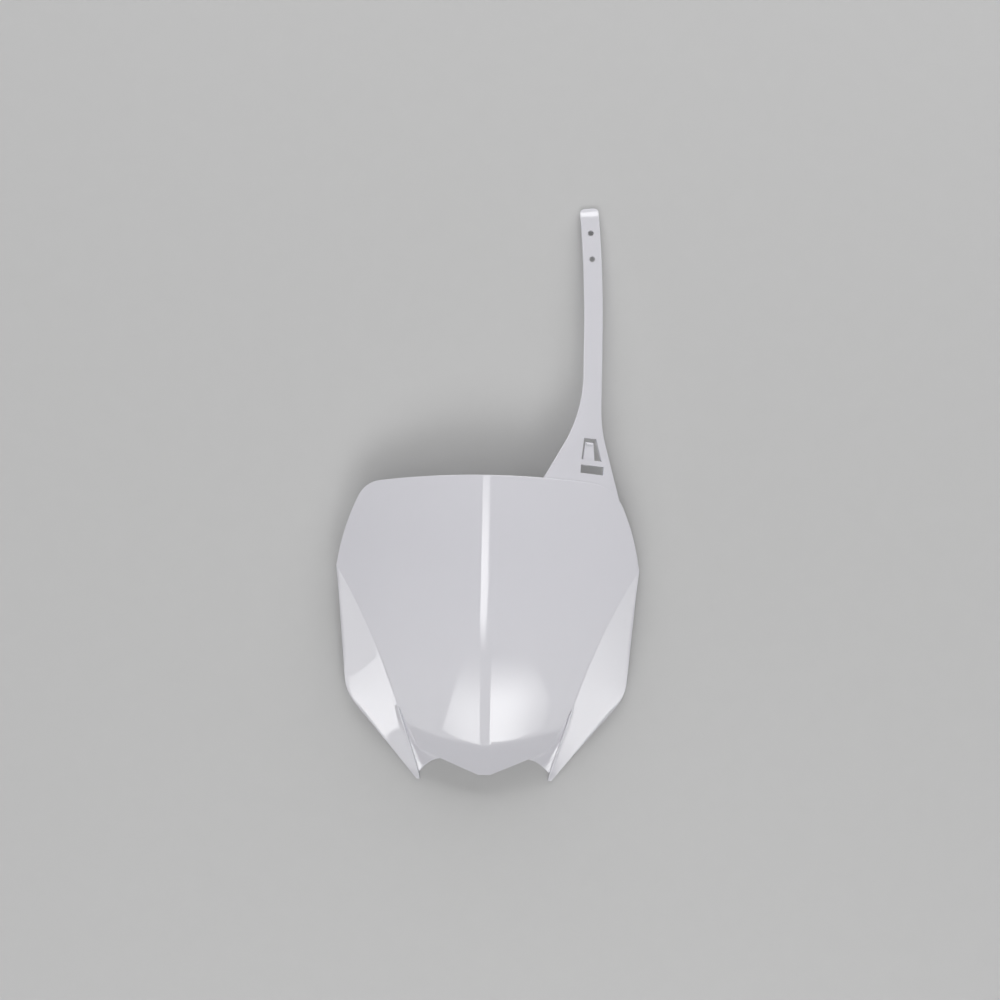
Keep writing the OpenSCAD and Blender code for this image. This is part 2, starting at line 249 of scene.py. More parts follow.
def side_half(round_l):
    """Side from the middle of the corner past the shoulder, down the crease and to the lip."""
    start = round_l / SIDE_LENGTH
    return (
        [corner_at(round_l, 0.5 + i / CORNER_SPANS / 2) for i in range(CORNER_SPANS)]
        + [side_at(lerp(start, 1, i / SIDE_SPANS)) for i in range(SIDE_SPANS)]
        + [crease_at(i / CREASE_SPANS) for i in range(CREASE_SPANS)]
        + [lerp(GROOVE, LIP_CORNER, i / EDGE_SPANS) for i in range(EDGE_SPANS + 1)]
    )


def face_half(side):
    """Rows of points over one half of the face, each from the ridge strip out to the side."""
    round_l = CORNER_ROUND if side < 0 else SEAM_ROUND
    top, edge = top_half(round_l), side_half(round_l)
    x0, lip_rise = RIDGE_W / 2, NOSE_DROP - LIP_DROP
    rows = []
    for p in edge:
        v = (edge[0][1] - p[1]) / (edge[0][1] - LIP_CORNER[1])
        row = []
        for q in top:
            u = (q[0] - x0) / (top[-1][0] - x0)
            y = p[1] + (1 - v) * (q[1] - top[-1][1]) - v * (1 - u) * lip_rise
            row.append(face_point(side * lerp(x0, p[0], u), y))
        rows.append(row)
    return rows


# The wings

TIP_IN = vec((TIP_GAP - TIP_W) / 2, -TIP_DROP, 0)
TIP_OUT = vec((TIP_GAP + TIP_W) / 2, -TIP_DROP, 0)


def inner_edge(t):
    return lerp(face_point(*GROOVE), TIP_IN, t) + vec(0, 0, TIP_ARCH * hump(t))


def wing_inner():
    crease = [crease_at(i / CREASE_SPANS) for i in range(CREASE_SPANS + 1)]
    return [face_point(*p) for p in crease] + [
        inner_edge(i / INNER_SPANS) for i in range(1, INNER_SPANS + 1)
    ]


def wing_outer():
    a = face_point(*SHOULDER)
    b = vec(LOWER_W / 2, -LOWER_DROP, CORNER_LIFT)
    ab = b + LOWER_ROUND * unit(a - b)
    bc = b + LOWER_ROUND * unit(TIP_OUT - b)
    upper = CREASE_SPANS - ROUND_SPANS // 2
    lower = INNER_SPANS - ROUND_SPANS // 2
    return (
        [lerp(a, ab, i / upper) for i in range(upper)]
        + [rounding(ab, b, bc, i / ROUND_SPANS) for i in range(ROUND_SPANS)]
        + [lerp(bc, TIP_OUT, i / lower) for i in range(lower + 1)]
    )


def wing_grid():
    rows = []
    for a, b in zip(wing_inner(), wing_outer()):
        outward = vec(a[2] - b[2], 0, b[0] - a[0])
        ts = [k / WING_SPANS for k in range(WING_SPANS + 1)]
        rows.append([lerp(a, b, t) + WING_BULGE * hump(t) * outward for t in ts])
    return rows


def grid_normal(rows, j, k):
    """Normal of a sheet given as rows of points that run down it, each from left to right."""
    r = max(j, 1)
    across = rows[r][min(k + 1, len(rows[r]) - 1)] - rows[r][max(k - 1, 0)]
    down = rows[min(j + 1, len(rows) - 1)][k] - rows[max(j - 1, 0)][k]
    return unit(np.cross(down, across))


def grid_normals(rows):
    return [[grid_normal(rows, j, k) for k in range(len(rows[0]))] for j in range(len(rows))]


class Board:
    """Points, wall directions and numbering of the folded sheet of face and wings."""

    def __init__(self):
        left, right = face_half(-1), face_half(1)
        self.face = [a[::-1] + b for a, b in zip(left, right)]
        self.last = len(self.face[0]) - 1
        self.wing = wing_grid()
        self.wing_normals = grid_normals(self.wing)
        self.face_count = (LIP_ROW + 1) * (self.last + 1)
        self.wing_count = (WING_ROWS + 1) * (WING_SPANS + 1)

    def side_column(self, side):
        return 0 if side < 0 else self.last

    def face_id(self, j, c):
        return j * (self.last + 1) + c

    def wing_id(self, side, j, k):
        if j == 0 or (k == 0 and j <= CREASE_SPANS):
            return self.face_id(SHOULDER_ROW + j, self.side_column(side))
        start = self.face_count + (0 if side < 0 else self.wing_count)
        return start + j * (WING_SPANS + 1) + k

    def face_normal(self, j, c):
        p = self.face[j][c]
        if SHOULDER_ROW <= j <= GROOVE_ROW and c in (0, self.last):
            side = np.sign(p[0])
            fold = mitre(face_normal(abs(p[0]), p[1]), self.wing_normals[j - SHOULDER_ROW][0])
            return flip(fold, side)
        return face_normal(p[0], p[1])

    def points(self):
        wing = [p for row in self.wing for p in row]
        return [p for row in self.face for p in row] + [flip(p, -1) for p in wing] + wing

    def normals(self):
        face = [
            self.face_normal(j, c) for j in range(LIP_ROW + 1) for c in range(self.last + 1)
        ]
        wing = [n for row in self.wing_normals for n in row]
        return face + [flip(n, -1) for n in wing] + wing

    def patches(self):
        face = [[self.face_id(j, c) for c in range(self.last + 1)] for j in range(LIP_ROW + 1)]
        wings = []
        for side in (-1, 1):
            rows = [
                [self.wing_id(side, j, k) for k in range(WING_SPANS + 1)]
                for j in range(WING_ROWS + 1)
            ]
            wings.append([row[::side] for row in rows])
        return [face] + wings

    def half_rim(self, side):
        """Edge from the shoulder's side down round the wing and back up to the lip."""
        column = self.side_column(side)
        return (
            [self.face_id(j, column) for j in range(1, SHOULDER_ROW + 1)]
            + [self.wing_id(side, j, WING_SPANS) for j in range(1, WING_ROWS + 1)]
            + [self.wing_id(side, WING_ROWS, k) for k in range(WING_SPANS - 1, -1, -1)]
            + [self.wing_id(side, j, 0) for j in range(WING_ROWS - 1, CREASE_SPANS - 1, -1)]
            + [self.face_id(j, column) for j in range(GROOVE_ROW + 1, LIP_ROW + 1)]
        )

    def rim(self):
        return (
            [self.face_id(0, c) for c in range(self.last + 1)]
            + self.half_rim(1)
            + [self.face_id(LIP_ROW, c) for c in range(self.last - 1, 0, -1)]
            + self.half_rim(-1)[::-1]
        )

    def creases(self):
        """Edges along the folds and the ridge strip, each with the share of the rounding it takes."""
        taken = {}
        half = (self.last + 1) // 2
        for j in range(LIP_ROW):
            for column in (half - 1, half):
                taken[self.face_id(j, column), self.face_id(j + 1, column)] = 1.0
        for side in (-1, 1):
            column = self.side_column(side)
            for j in range(SHOULDER_ROW, GROOVE_ROW):
                # The rounding fades out where the wing starts narrow and before the groove.
                row = self.wing[j - SHOULDER_ROW]
                room = np.linalg.norm(row[-1] - row[0]) / 12 - 0.1
                share = max(0.0, min(1.0, room, (GROOVE_ROW - 1 - j) / 3))
                taken[self.face_id(j, column), self.face_id(j + 1, column)] = share
        return taken


# The webs


def wing_root(board, i):
    j = CREASE_SPANS + i
    across = unit(board.wing[j][-1] - board.wing[j][0])
    at = inner_edge((1 - WEB_SHORT) * i / INNER_SPANS)
    return at + WEB_LAP * across - WEB_STEP * board.wing_normals[j][0]


def face_root(i):
    slope = (NOSE_DROP - LIP_DROP) / (LIP_W / 2 - RIDGE_W / 2)
    a = GROOVE + vec(-WEB_LAP, 0)
    b = LIP_CORNER + vec(-WEB_LAP, WEB_LAP)
    c = vec(WEB_REACH, -LIP_DROP - slope * (LIP_W / 2 - WEB_REACH) + LIP_OVERHANG)
    along = i - EDGE_SPANS
    p = lerp(b, c, along / (INNER_SPANS - EDGE_SPANS)) if along > 0 else lerp(a, b, i / EDGE_SPANS)
    return face_point(*p) - WEB_STEP * face_normal(*p)


def web_grid(board):
    rows = []
    for i in range(INNER_SPANS + 1):
        a, b, s = face_root(i), wing_root(board, i), i / INNER_SPANS
        ts = [k / WEB_SPANS for k in range(WEB_SPANS + 1)]
        rows.append([
            lerp(a, b, t) + hump(t) * vec(0, WEB_ARCH * s ** 3, -WEB_SAG * s) for t in ts
        ])
    return rows


# The strap


def strap_turn(y):
    return max(0.0, y - STRAP_BEND_Y) / STRAP_BEND_R


def strap_center(y):
    return vec(STRAP_X - max(0.0, y - STRAP_BEND_Y) ** 2 / (2 * STRAP_BEND_R), y)


def flare(d, slope):
    """Extra half width at distance d below the start of a flare."""
    full = FLARE_R * slope / math.sqrt(1 + slope * slope)
    return arc_drop(FLARE_R, max(0.0, min(d, full))) + slope * max(0.0, d - full)


def strap_left(y):
    return STRAP_W / 2 + flare(INNER_FLARE_Y - y, INNER_FLARE_SLOPE)


def strap_right(y):
    return STRAP_W / 2 + flare(OUTER_FLARE_Y - y, OUTER_FLARE_SLOPE)


class Strap:
    """The strap's face follows the board's face and then runs straight down to its curl."""

    def __init__(self, rest_z):
        self.root_y = BAR_Y + ROOT_RUN
        self.root_z = face_z(STRAP_X, self.root_y) - ROOT_STEP
        self.rest_z = rest_z
        # The slope that brings the curl down to the table, closer with each try
        self.slope = math.radians(10)
        for _ in range(8):
            fall = self.root_z - rest_z - self.curl_drop(self.slope)
            self.slope = math.atan2(fall, STRAP_TOP - self.curl_run(self.slope) - self.root_y)
        self.curl_y = STRAP_TOP - self.curl_run(self.slope)
        self.curl_z = self.root_z - (self.curl_y - self.root_y) * math.tan(self.slope)

    @staticmethod
    def curl_run(a):
        return CURL_R * (math.sin(a + CURL_L / CURL_R) - math.sin(a))

    @staticmethod
    def curl_drop(a):
        end = a + CURL_L / CURL_R
        return CURL_R * (math.cos(a) - math.cos(end)) + STRAP_WALL * math.cos(end)

    def z(self, x, y):
        if y < self.root_y:
            return face_z(x, y) - ROOT_STEP
        section = section_drop(x) - section_drop(STRAP_X)
        blend = fade((y - self.root_y) / (INNER_FLARE_Y - self.root_y))
        return self.root_z - (y - self.root_y) * math.tan(self.slope) - section * blend

    def point(self, y):
        x = strap_center(y)[0]
        return vec(x, y, self.z(x, y))

    def row(self, y_left, y_right):
        row = []
        for k in range(STRAP_SPANS + 1):
            t = k / STRAP_SPANS
            y = lerp(y_left, y_right, t)
            offset = lerp(-strap_left(y_left), strap_right(y_right), t)
            p = strap_center(y) + offset * vec(1, strap_turn(y))
            row.append(vec(p[0], p[1], self.z(p[0], y)))
        return row

    def curl_row(self, e):
        """Row across the curl at distance e from the strap's end, narrowed by its corners."""
        a = self.slope + (CURL_L - e) / CURL_R
        y = self.curl_y + CURL_R * (math.sin(a) - math.sin(self.slope))
        z = self.curl_z - CURL_R * (math.cos(self.slope) - math.cos(a))
        half_w = STRAP_W / 2 - arc_drop(TIP_R, max(0.0, TIP_R - e))
        row = []
        for k in range(STRAP_SPANS + 1):
            across = lerp(-half_w, half_w, k / STRAP_SPANS)
            p = strap_center(y) + across * vec(1, strap_turn(y))
            row.append(vec(p[0], p[1], z))
        return row

    def grid(self):
        rows = [
            self.row(lerp(TUCK_LEFT, INNER_FLARE_Y, i / FLARE_SPANS),
                     lerp(TUCK_RIGHT, INNER_FLARE_Y, i / FLARE_SPANS))
            for i in range(FLARE_SPANS)
        ]
        for i in range(STRAIGHT_SPANS + 1):
            y = lerp(INNER_FLARE_Y, self.curl_y, i / STRAIGHT_SPANS)
            rows.append(self.row(y, y))
        ends = [math.sin(math.pi / 2 * i / CURL_SPANS) for i in range(1, CURL_SPANS + 1)]
        rows += [self.curl_row(CURL_L * (1 - s)) for s in ends]
        return rows[::-1]


# Node trees


class Tree:
    """A tree of geometry nodes with named inputs, built step by step."""

    def __init__(self, name, inputs):
        self.group = bpy.data.node_groups.new(name, "GeometryNodeTree")
        face = self.group.interface
        self.sockets = {}
        for label, kind in inputs:
            self.sockets[label] = face.new_socket(label, in_out="INPUT", socket_type=kind)
        face.new_socket("Geometry", in_out="OUTPUT", socket_type="NodeSocketGeometry")
        self.input = self.group.nodes.new("NodeGroupInput")
        self.output = self.group.nodes.new("NodeGroupOutput")

    def node(self, kind, links=None, **settings):
        made = self.group.nodes.new(kind)
        for key, value in settings.items():
            setattr(made, key, value)
        for socket, value in (links or {}).items():
            target = made.inputs[socket]
            if isinstance(value, bpy.types.NodeSocket):
                self.group.links.new(value, target)
            else:
                target.default_value = value
        return made

    def given(self, label):
        return self.input.outputs[label]

    def math(self, operation, a, b):
        return self.node("ShaderNodeMath", {0: a, 1: b}, operation=operation).outputs[0]

    def scaled(self, v, factor):
        return self.node("ShaderNodeVectorMath", {0: v, "Scale": factor}, operation="SCALE").outputs[0]

    def added(self, a, b):
        return self.node("ShaderNodeVectorMath", {0: a, 1: b}, operation="ADD").outputs[0]

    def attribute(self, name):
        named = self.node("GeometryNodeInputNamedAttribute", {"Name": name}, data_type="FLOAT_VECTOR")
        return named.outputs["Attribute"]

    def finish(self, geometry, material):
        real = self.node("GeometryNodeRealizeInstances", {"Geometry": geometry})
        dressed = self.node("GeometryNodeSetMaterial", {"Geometry": real.outputs[0], "Material": material})
        self.group.links.new(dressed.outputs[0], self.output.inputs[0])

    def run(self, thing, values):
        """Runs the tree on an object and leaves the result as its plain mesh."""
        step = thing.modifiers.new(self.group.name, "NODES")
        step.node_group = self.group
        for label, value in values.items():
            step[self.sockets[label].identifier] = value
        bake(thing)
        return thing


def bake(thing):
    """Turns an object's modifiers into its plain mesh."""
    bpy.context.view_layer.update()
    evaluated = thing.evaluated_get(bpy.context.evaluated_depsgraph_get())
    made = bpy.data.meshes.new_from_object(evaluated)
    thing.modifiers.clear()
    thing.data = made
    return thing


def moulded_wall_tree(material):
    """Gives a front skin its wall and rounds the sheet's edge on both sides.

    Each point carries the direction "wall_line" through the wall, and each point of the edge
    carries "rim_inset", which points into the sheet and is 1 long where the rounding is whole.
    """
    tree = Tree("moulded_wall", [
        ("Geometry", "NodeSocketGeometry"), ("Wall", "NodeSocketFloat"), ("Rounding", "NodeSocketFloat"),
    ])
    wall_line, rim_inset = tree.attribute("wall_line"), tree.attribute("rim_inset")
    wall, full = tree.given("Wall"), tree.given("Rounding")
    share = tree.node("ShaderNodeVectorMath", {0: rim_inset}, operation="LENGTH").outputs["Value"]
    radius = tree.math("MULTIPLY", share, full)
    inset = tree.scaled(rim_inset, full)
    edge = tree.node("GeometryNodeStoreNamedAttribute", {
        "Geometry": tree.given("Geometry"), "Name": "edge_point",
        "Value": tree.node("GeometryNodeInputPosition").outputs[0],
    }, data_type="FLOAT_VECTOR", domain="POINT").outputs[0]
    front = tree.node("GeometryNodeSetPosition", {"Geometry": edge, "Offset": inset}).outputs[0]
    through = tree.scaled(wall_line, tree.math("MULTIPLY", wall, -1.0))
    back = tree.node("GeometryNodeSetPosition", {"Geometry": front, "Offset": through}).outputs[0]
    back = tree.node("GeometryNodeFlipFaces", {"Mesh": back}).outputs[0]
    neighbours = tree.node("GeometryNodeInputMeshEdgeNeighbors").outputs[0]
    open_edge = tree.node("FunctionNodeCompare", {2: neighbours, 3: 1}, data_type="INT", operation="EQUAL")
    body, chosen = front, open_edge.outputs[0]
    edge_point = tree.attribute("edge_point")
    # The edge is rounded by a quarter turn below the front and another above the back.
    quarter = [math.radians(a) for a in (30, 60, 90)]
    for near_front, angle in [(True, a) for a in quarter] + [(False, a) for a in quarter[::-1] + [0.0]]:
        out = tree.scaled(inset, 1 - math.sin(angle))
        fall = tree.math("MULTIPLY", radius, 1 - math.cos(angle))
        depth = fall if near_front else tree.math("SUBTRACT", wall, fall)
        down = tree.scaled(wall_line, tree.math("MULTIPLY", depth, -1.0))
        grown = tree.node("GeometryNodeExtrudeMesh", {
            "Mesh": body, "Selection": chosen, "Offset Scale": 0.0}, mode="EDGES")
        body = tree.node("GeometryNodeSetPosition", {
            "Geometry": grown.outputs["Mesh"], "Selection": grown.outputs["Top"],
            "Position": tree.added(edge_point, tree.added(out, down)),
        }).outputs[0]
        chosen = grown.outputs["Top"]
    joined = tree.node("GeometryNodeJoinGeometry")
    tree.group.links.new(body, joined.inputs[0])
    tree.group.links.new(back, joined.inputs[0])
    welded = tree.node("GeometryNodeMergeByDistance", {
        "Geometry": joined.outputs[0], "Distance": 1e-6}).outputs[0]
    tree.finish(welded, material)
    return tree


def strap_pegs_tree(material):
    """A row of round pegs with which the strap's holes are cut."""
    tree = Tree("strap_pegs", [
        ("Geometry", "NodeSocketGeometry"), ("Count", "NodeSocketInt"), ("Radius", "NodeSocketFloat"),
        ("Length", "NodeSocketFloat"), ("Lean", "NodeSocketFloat"), ("First", "NodeSocketVector"),
        ("Last", "NodeSocketVector"),
    ])
    row = tree.node("GeometryNodeMeshLine", {
        "Count": tree.given("Count"), "Start Location": tree.given("First"),
        "Offset": tree.given("Last")}, mode="END_POINTS")
    peg = tree.node("GeometryNodeMeshCylinder", {
        "Vertices": 48, "Radius": tree.given("Radius"), "Depth": tree.given("Length")})
    lean = tree.node("ShaderNodeCombineXYZ", {"X": tree.given("Lean")})
    pegs = tree.node("GeometryNodeInstanceOnPoints", {
        "Points": row.outputs[0], "Instance": peg.outputs["Mesh"], "Rotation": lean.outputs[0]})
    tree.finish(pegs.outputs[0], material)
    return tree


# Meshes


def patch_faces(ids):
    """Faces of a patch of points given by rows of their numbers; some rows end in one point."""
    faces = []
    for upper, lower in zip(ids, ids[1:]):
        for k in range(len(upper) - 1):
            ring = [lower[k], lower[k + 1], upper[k + 1], upper[k]]
            ring = [v for i, v in enumerate(ring) if v != ring[i - 1]]
            if len(ring) > 2:
                faces.append(ring)
    return faces


def rim_insets(points, normals, faces, rim, radius):
    """Directions into the sheet at its edge, shorter where the cells there are small."""
    inner = {}
    on_rim = set(rim)
    for face in faces:
        for v in face:
            if v in on_rim:
                inner.setdefault(v, set()).update(w for w in face if w not in on_rim)
    insets = [vec(0, 0, 0)] * len(points)
    shares = []
    for i, v in enumerate(rim):
        along = unit(points[rim[(i + 1) % len(rim)]] - points[rim[i - 1]])
        inward = unit(np.cross(along, unit(normals[v])))
        room = [(points[w] - points[v]) @ inward for w in inner.get(v, ())]
        room = min((r for r in room if r > 0), default=0.0)
        insets[v] = inward
        shares.append(min(1.0, CELL_SHARE * room / radius))
    for i, v in enumerate(rim):
        near = [shares[(i + d) % len(rim)] for d in (-1, 0, 1)]
        insets[v] = insets[v] * max(0.02, min(near[1], sum(near) / 3))
    return insets


def moulded_sheet(name, points, normals, patches, rim, wall, radius, creases=None):
    """Closed sheet of even wall under its front points, as a mesh object in metres."""
    faces = [face for ids in patches for face in patch_faces(ids)]
    insets = rim_insets(points, normals, faces, rim, radius)
    used = sorted({v for face in faces for v in face})
    number = {v: i for i, v in enumerate(used)}
    mesh = bpy.data.meshes.new(name)
    mesh.from_pydata([place(points[v]) for v in used], [], [[number[v] for v in f] for f in faces])
    for label, values in (("wall_line", normals), ("rim_inset", insets)):
        layer = mesh.attributes.new(label, "FLOAT_VECTOR", "POINT")
        layer.data.foreach_set("vector", np.array([values[v] for v in used]).ravel())
    if creases:
        shares = mesh.attributes.new("bevel_weight_edge", "FLOAT", "EDGE")
        taken = {frozenset((number[a], number[b])): s for (a, b), s in creases.items()}
        for edge in mesh.edges:
            shares.data[edge.index].value = taken.get(frozenset(edge.vertices), 0.0)
    thing = bpy.data.objects.new(name, mesh)
    scene.collection.objects.link(thing)
    return wall_tree.run(thing, {"Wall": wall / 1000, "Rounding": radius / 1000})


def grid_sheet(name, rows, wall, radius):
    """Closed sheet over plain rows of points, with its rim all the way round."""
    last, width = len(rows) - 1, len(rows[0])
    ids = [[j * width + k for k in range(width)] for j in range(last + 1)]
    rim = (
        ids[0]
        + [ids[j][-1] for j in range(1, last + 1)]
        + ids[last][-2::-1]
        + [ids[j][0] for j in range(last - 1, 0, -1)]
    )
    points = [p for row in rows for p in row]
    normals = [n for row in grid_normals(rows) for n in row]
    return moulded_sheet(name, points, normals, [ids], rim, wall, radius)


def prism(name, outline, low, high, matrix):
    """Prism over an outline in millimetres, between two heights, placed by a matrix."""
    data = bmesh.new()
    base = data.faces.new([data.verts.new((x / 1000, y / 1000, low / 1000)) for x, y in outline])
    lifted = bmesh.ops.extrude_face_region(data, geom=[base])["geom"]
    for v in lifted:
        if isinstance(v, bmesh.types.BMVert):
            v.co.z = high / 1000
    bmesh.ops.transform(data, matrix=matrix, verts=data.verts)
    bmesh.ops.recalc_face_normals(data, faces=data.faces)
    mesh = bpy.data.meshes.new(name)
    data.to_mesh(mesh)
    data.free()
    thing = bpy.data.objects.new(name, mesh)
    scene.collection.objects.link(thing)
    return thing


def carve(target, tool, operation="DIFFERENCE"):
    """Cuts a tool out of a target, or joins it on, and removes the tool."""
    step = target.modifiers.new("carve", "BOOLEAN")
    step.operation = operation
    step.solver = "EXACT"
    step.object = tool
    bake(target)
    bpy.data.objects.remove(tool)


# Finishes


def node(material, kind, links=None, **settings):
    """A shader node with its settings, and with values or sockets on its inputs."""
    made = material.node_tree.nodes.new(kind)
    for key, value in settings.items():
        setattr(made, key, value)
    for socket, value in (links or {}).items():
        if isinstance(value, bpy.types.NodeSocket):
            material.node_tree.links.new(value, made.inputs[socket])
        else:
            made.inputs[socket].default_value = value
    return made


def new_material(name):
    material = bpy.data.materials.new(name)
    material.use_nodes = True
    return material, material.node_tree.nodes["Principled BSDF"]


def ramp(material, value, low, high, first, second):
    """Colour ramp between two colours."""
    made = node(material, "ShaderNodeValToRGB", {"Fac": value})
    for stop, position, colour in zip(made.color_ramp.elements, (low, high), (first, second)):
        stop.position = position
        stop.color = (*colour, 1)
    return made.outputs["Color"]


def white_moulding():
    """Glossy white moulded plastic: a little cloudy, with faint waves in its skin."""
    material, shader = new_material("white_moulding")
    links = material.node_tree.links
    at = node(material, "ShaderNodeTexCoord").outputs["Object"]
    cloud = node(material, "ShaderNodeTexNoise", {"Vector": at, "Scale": 11, "Detail": 3})
    links.new(
        ramp(material, cloud.outputs["Fac"], 0.3, 0.7, (0.705, 0.700, 0.745), (0.719, 0.714, 0.759)),
        shader.inputs["Base Color"])
    wear = node(material, "ShaderNodeTexNoise", {"Vector": at, "Scale": 55, "Detail": 4})
    gloss = node(material, "ShaderNodeMapRange", {
        "Value": wear.outputs["Fac"], "From Min": 0.3, "From Max": 0.7, "To Min": 0.035, "To Max": 0.05})
    links.new(gloss.outputs[0], shader.inputs["Roughness"])
    waves = node(material, "ShaderNodeTexNoise", {"Vector": at, "Scale": 130, "Detail": 1})
    shader.inputs["IOR"].default_value = 1.75
    bump = node(material, "ShaderNodeBump", {
        "Height": waves.outputs["Fac"], "Strength": 0.03, "Distance": 0.0003})
    links.new(bump.outputs[0], shader.inputs["Normal"])
    return material


def pale_floor():
    material, shader = new_material("pale_floor")
    at = node(material, "ShaderNodeTexCoord").outputs["Object"]
    grain = node(material, "ShaderNodeTexNoise", {"Vector": at, "Scale": 60, "Detail": 3})
    tint = ramp(material, grain.outputs["Fac"], 0.3, 0.7, (0.565, 0.565, 0.565), (0.571, 0.571, 0.571))
    material.node_tree.links.new(tint, shader.inputs["Base Color"])
    shader.inputs["Roughness"].default_value = 1.0
    shader.inputs["Specular IOR Level"].default_value = 0.0
    return material


# Frame, camera and studio

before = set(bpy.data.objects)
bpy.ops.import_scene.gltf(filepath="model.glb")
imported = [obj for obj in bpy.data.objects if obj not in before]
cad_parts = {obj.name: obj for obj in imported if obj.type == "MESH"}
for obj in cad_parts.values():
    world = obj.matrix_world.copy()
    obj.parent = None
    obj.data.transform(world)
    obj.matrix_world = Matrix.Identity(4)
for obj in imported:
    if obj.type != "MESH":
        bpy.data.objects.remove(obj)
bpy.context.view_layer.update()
scene = bpy.context.scene

# Camera straight above the board and the width that it sees, in metres
CAMERA_H = 1.8
FRAME_W = 0.7734
SENSOR = 36.0
ROLL = math.radians(1.1)
AIM = (0.00835, -0.00501)
FLOOR_HALF = 4

# Strength of the sky: the rise where its tent starts, and what the camera sees instead
TENT_EDGE = (0.489, 0.511)
UNDER_TENT = 0.01
TENT_FRONT = 1.13
TENT_BACK = 0.01
SEEN_GREY = 0.5


def add_camera():
    data = bpy.data.cameras.new("camera")
    data.sensor_width = SENSOR
    data.lens = SENSOR * CAMERA_H / FRAME_W
    camera = bpy.data.objects.new("camera", data)
    camera.location = (AIM[0], AIM[1], CAMERA_H)
    camera.rotation_euler = (0, 0, ROLL)
    scene.collection.objects.link(camera)
    scene.camera = camera


def add_floor():
    mesh = bpy.data.meshes.new("floor")
    corners = [(x * FLOOR_HALF, y * FLOOR_HALF, 0) for x, y in ((-1, -1), (1, -1), (1, 1), (-1, 1))]
    mesh.from_pydata(corners, [], [(0, 1, 2, 3)])
    mesh.materials.append(pale_floor())
    floor = bpy.data.objects.new("floor", mesh)
    scene.collection.objects.link(floor)


def add_panel(name, corners, strength, fades=(), gloss_only=False):
    """Glowing panel given by its corners in metres.

    Each fade names an axis, the place where the panel is dimmest, the place where it is brightest
    and the share of light left at its dimmest. With gloss_only it shows in shiny skins alone.
    """
    mesh = bpy.data.meshes.new(name)
    mesh.from_pydata(corners, [], [tuple(range(len(corners)))])
    material = bpy.data.materials.new(name)
    material.use_nodes = True
    material.node_tree.nodes.clear()
    at = node(material, "ShaderNodeTexCoord").outputs["Object"]
    axes = node(material, "ShaderNodeSeparateXYZ", {"Vector": at})
    level = strength
    for axis, dark, bright, least in fades:
        dim = node(material, "ShaderNodeMapRange", {
            "Value": axes.outputs[axis], "From Min": dark, "From Max": bright,
            "To Min": least, "To Max": 1.0}, interpolation_type="SMOOTHSTEP")
        level = node(material, "ShaderNodeMath", {0: level, 1: dim.outputs[0]}, operation="MULTIPLY")
        level = level.outputs[0]
    glow = node(material, "ShaderNodeEmission", {"Strength": level})
    node(material, "ShaderNodeOutputMaterial", {"Surface": glow.outputs[0]})
    mesh.materials.append(material)
    panel = bpy.data.objects.new(name, mesh)
    panel.visible_camera = False
    panel.visible_diffuse = not gloss_only
    scene.collection.objects.link(panel)


def card(directions, centre, azimuth, distance):
    """Corners of an upright panel, each seen from the centre at a compass angle and a rise."""
    corners = []
    for turn, rise in directions:
        away = distance / math.cos(math.radians(turn - azimuth))
        corners.append((
            centre[0] + away * math.cos(math.radians(turn)),
            centre[1] + away * math.sin(math.radians(turn)),
            centre[2] + away * math.tan(math.radians(rise)),
        ))
    return corners


def add_world():
    """Faint light all round and a soft tent above it, brighter in front; the camera sees grey."""
    world = bpy.data.worlds.new("studio")
    world.use_nodes = True
    scene.world = world
    at = node(world, "ShaderNodeTexCoord").outputs["Generated"]
    axes = node(world, "ShaderNodeSeparateXYZ", {"Vector": at})
    front = node(world, "ShaderNodeMapRange", {
        "Value": axes.outputs["Y"], "From Min": -0.6, "From Max": 0.1,
        "To Min": TENT_FRONT, "To Max": TENT_BACK})
    tent = node(world, "ShaderNodeMapRange", {
        "Value": axes.outputs["Z"], "From Min": TENT_EDGE[0], "From Max": TENT_EDGE[1],
        "To Min": UNDER_TENT, "To Max": front.outputs[0]})
    back = world.node_tree.nodes["Background"]
    seen = node(world, "ShaderNodeLightPath").outputs["Is Camera Ray"]
    level = node(world, "ShaderNodeMix", {"Factor": seen, "A": tent.outputs[0], "B": SEEN_GREY})
    back.inputs["Color"].default_value = (1, 1, 1, 1)
    world.node_tree.links.new(level.outputs[0], back.inputs["Strength"])


# Heights of the soft boxes, and the spots from which the upright panels are laid out, in metres
LAMP_H = 1.5
OVERHEAD_H = 2.4
BOARD_MIDDLE = (0, 0, 0.02)
LEFT_SIDE = (-0.08, -0.1, 0.02)
LEFT_WING = (-0.08, -0.152, 0.02)
RIGHT_WING = (0.08, -0.152, 0.02)
BACK_REACH = 2.4
SIDE_REACH = 2.0
CARD_REACH = 1.5


